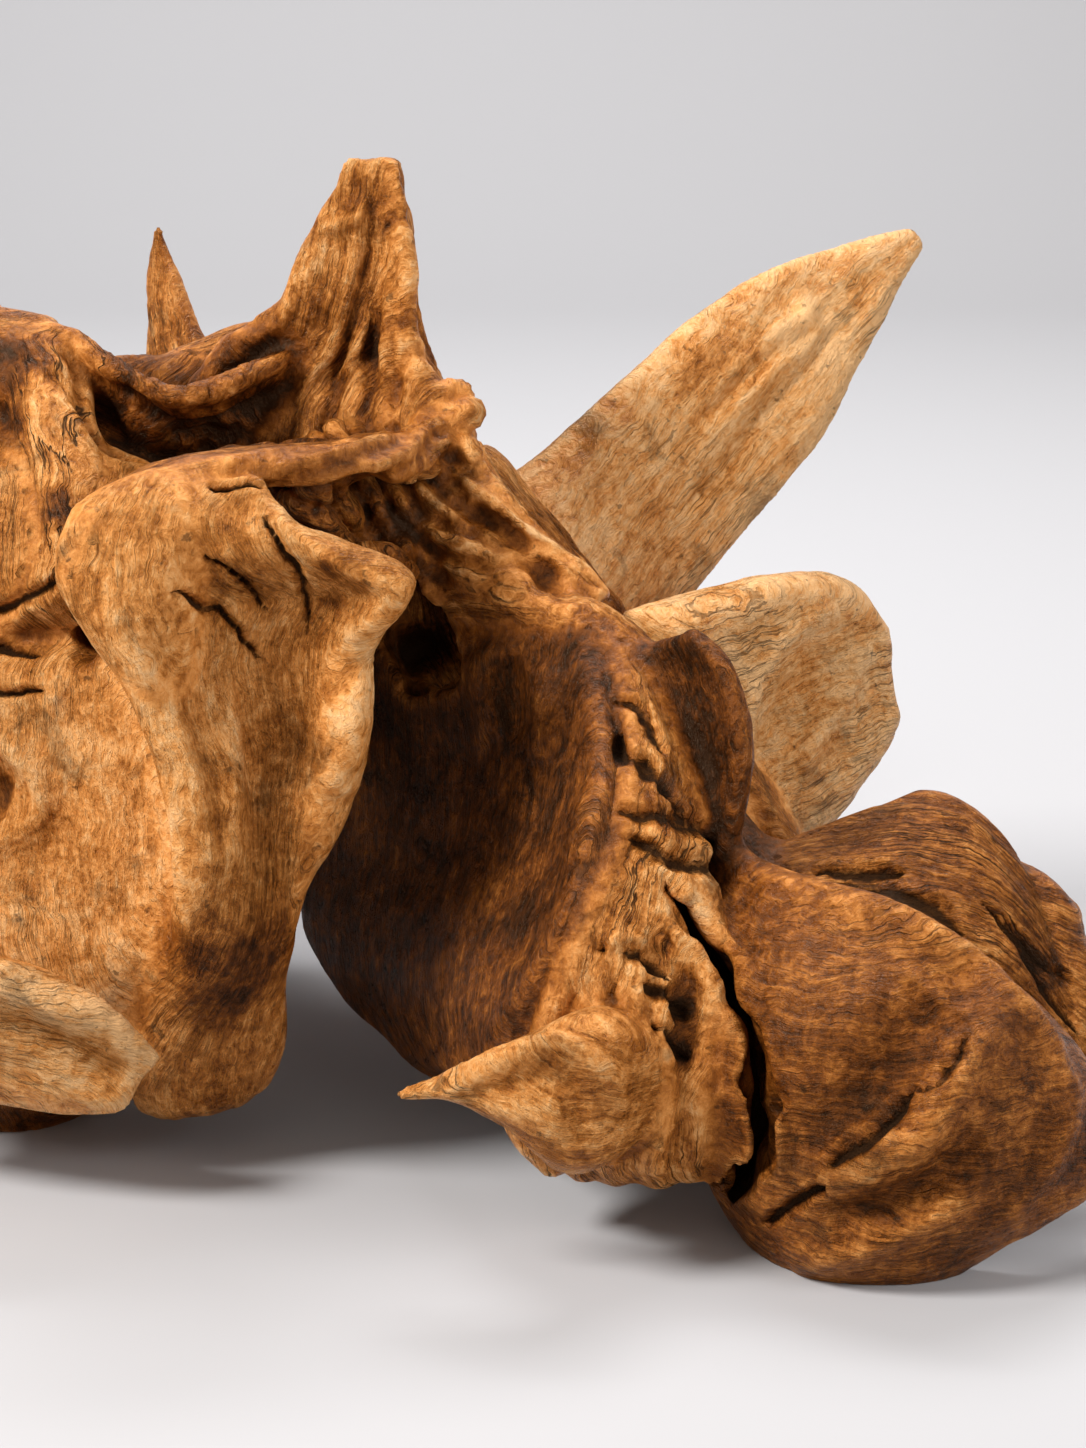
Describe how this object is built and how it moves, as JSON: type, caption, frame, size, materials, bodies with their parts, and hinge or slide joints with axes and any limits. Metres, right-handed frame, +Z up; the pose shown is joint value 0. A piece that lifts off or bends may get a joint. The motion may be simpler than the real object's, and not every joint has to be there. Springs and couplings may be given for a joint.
{
  "type": "dry tree root",
  "caption": "Weathered, polished tree root that rests on flat-cut feet, with horns, a long blade, hollow scoops and broad folded flaps growing from one knotted crown.",
  "frame": {"origin": "bottom centre of the bounding box, on the plane its feet stand on", "axes": "+X to the right along the root's length, +Y to its back, +Z up"},
  "size_m": [0.669, 0.4595, 0.411],
  "materials": {
    "wood": "satin, hand polished"
  },
  "bodies": {
    "root": {"dry_root": "wood"}
  },
  "joints": []
}
